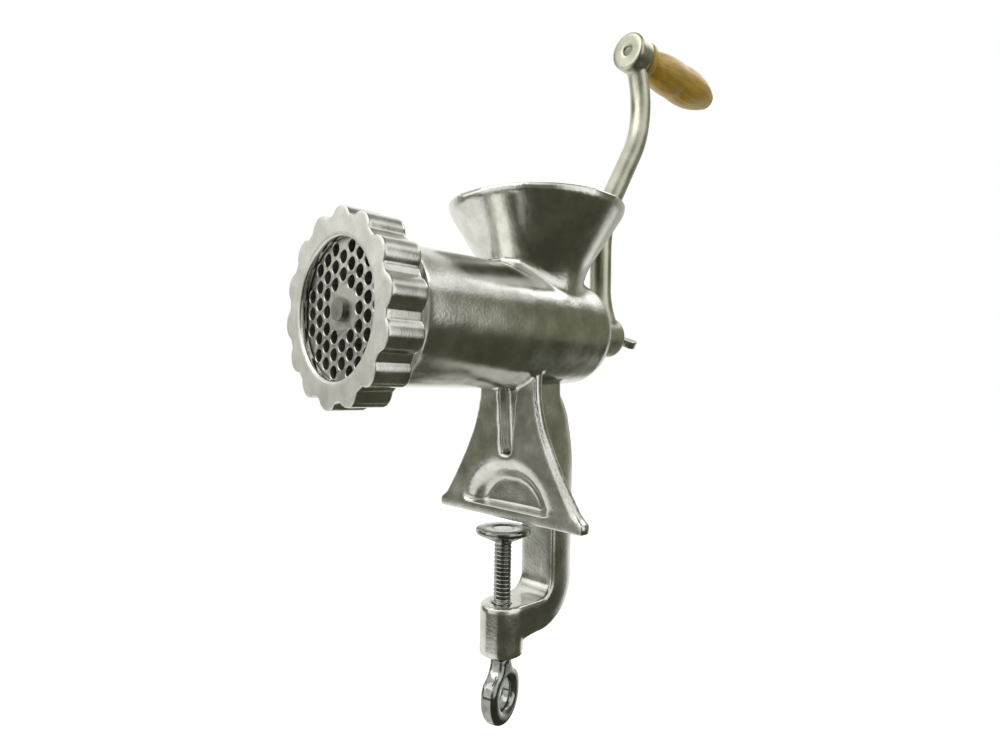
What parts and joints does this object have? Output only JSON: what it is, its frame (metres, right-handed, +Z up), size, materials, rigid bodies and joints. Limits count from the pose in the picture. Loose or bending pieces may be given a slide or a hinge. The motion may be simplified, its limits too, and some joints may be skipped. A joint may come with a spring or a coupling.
{
  "type": "hand crank meat grinder",
  "caption": "Tinned cast iron meat grinder with a funnel hopper, a feed screw, a knife and a perforated plate under a lobed ring nut, a bent crank with a wooden grip and a table clamp.",
  "frame": {"origin": "on the table top, which is the underside of the foot, on the axis of the clamp screw", "axes": "+Z up; the barrel lies along Y with the plate and ring nut at -Y and the crank at +Y; +X to the right of someone who looks along +Y"},
  "size_m": [0.101, 0.292, 0.3875],
  "materials": {
    "tinned_casting": "hot tinned cast iron, satin with fine pebbling",
    "ring_metal": "tinned cast iron, machined front face",
    "crank_metal": "tinned cast iron, smooth satin",
    "plate_steel": "ground carbon steel",
    "turned_steel": "turned steel, bright",
    "clamp_steel": "dark turned steel, polished by use",
    "bush_brass": "turned brass",
    "varnished_wood": "turned beech, golden varnish"
  },
  "bodies": {
    "frame": {"body_casting": "tinned_casting", "rear_bush": "bush_brass", "thrust_washer": "bush_brass", "plate_key_pin": "turned_steel"},
    "drive": {"feed_screw": "tinned_casting", "worm_stud": "turned_steel", "cross_knife": "plate_steel", "crank_arm": "crank_metal", "grip_spindle": "turned_steel", "inner_grip_washer": "turned_steel", "outer_grip_washer": "turned_steel"},
    "grip": {"wooden_grip": "varnished_wood"},
    "plate": {"grinding_plate": "plate_steel"},
    "ring": {"ring_nut": "ring_metal"},
    "thumb_washer": {"thumb_washer": "turned_steel"},
    "thumb_screw": {"thumb_screw": "turned_steel"},
    "pad": {"clamp_pad": "clamp_steel"},
    "screw": {"clamp_screw": "clamp_steel", "pad_rivet": "clamp_steel"}
  },
  "joints": [
    {"name": "crank_turn", "type": "hinge", "parent": "frame", "child": "drive", "pos_m": [0, 0, 0.096], "axis": [0, -1, 0], "continuous": true},
    {"name": "grip_spin", "type": "hinge", "parent": "drive", "child": "grip", "pos_m": [0, 0.15, 0.2735], "axis": [0, -1, 0], "continuous": true},
    {"name": "plate_slide", "type": "slide", "parent": "frame", "child": "plate", "axis": [0, -1, 0], "range_m": [0, 0.012]},
    {"name": "ring_turn", "type": "hinge", "parent": "plate", "child": "ring", "pos_m": [0, -0.09, 0.096], "axis": [0, -1, 0], "range_deg": [0, 1440]},
    {"name": "thumb_slide", "type": "slide", "parent": "drive", "child": "thumb_washer", "axis": [0, 1, 0], "range_m": [0, 0.01]},
    {"name": "thumb_turn", "type": "hinge", "parent": "thumb_washer", "child": "thumb_screw", "pos_m": [0, 0.09, 0.096], "axis": [0, 1, 0], "range_deg": [0, 2880]},
    {"name": "pad_slide", "type": "slide", "parent": "frame", "child": "pad", "axis": [0, 0, 1], "range_m": [-0.03, 0.002]},
    {"name": "screw_turn", "type": "hinge", "parent": "pad", "child": "screw", "pos_m": [0, 0, -0.04], "axis": [0, 0, 1], "range_deg": [-5400, 360]}
  ],
  "couplings": [
    {"joint": "plate_slide", "follows": "ring_turn", "m_per_rad": 0.00047746},
    {"joint": "thumb_turn", "follows": "thumb_slide", "rad_per_m": 5026.5},
    {"joint": "screw_turn", "follows": "pad_slide", "rad_per_m": 3141.6}
  ]
}
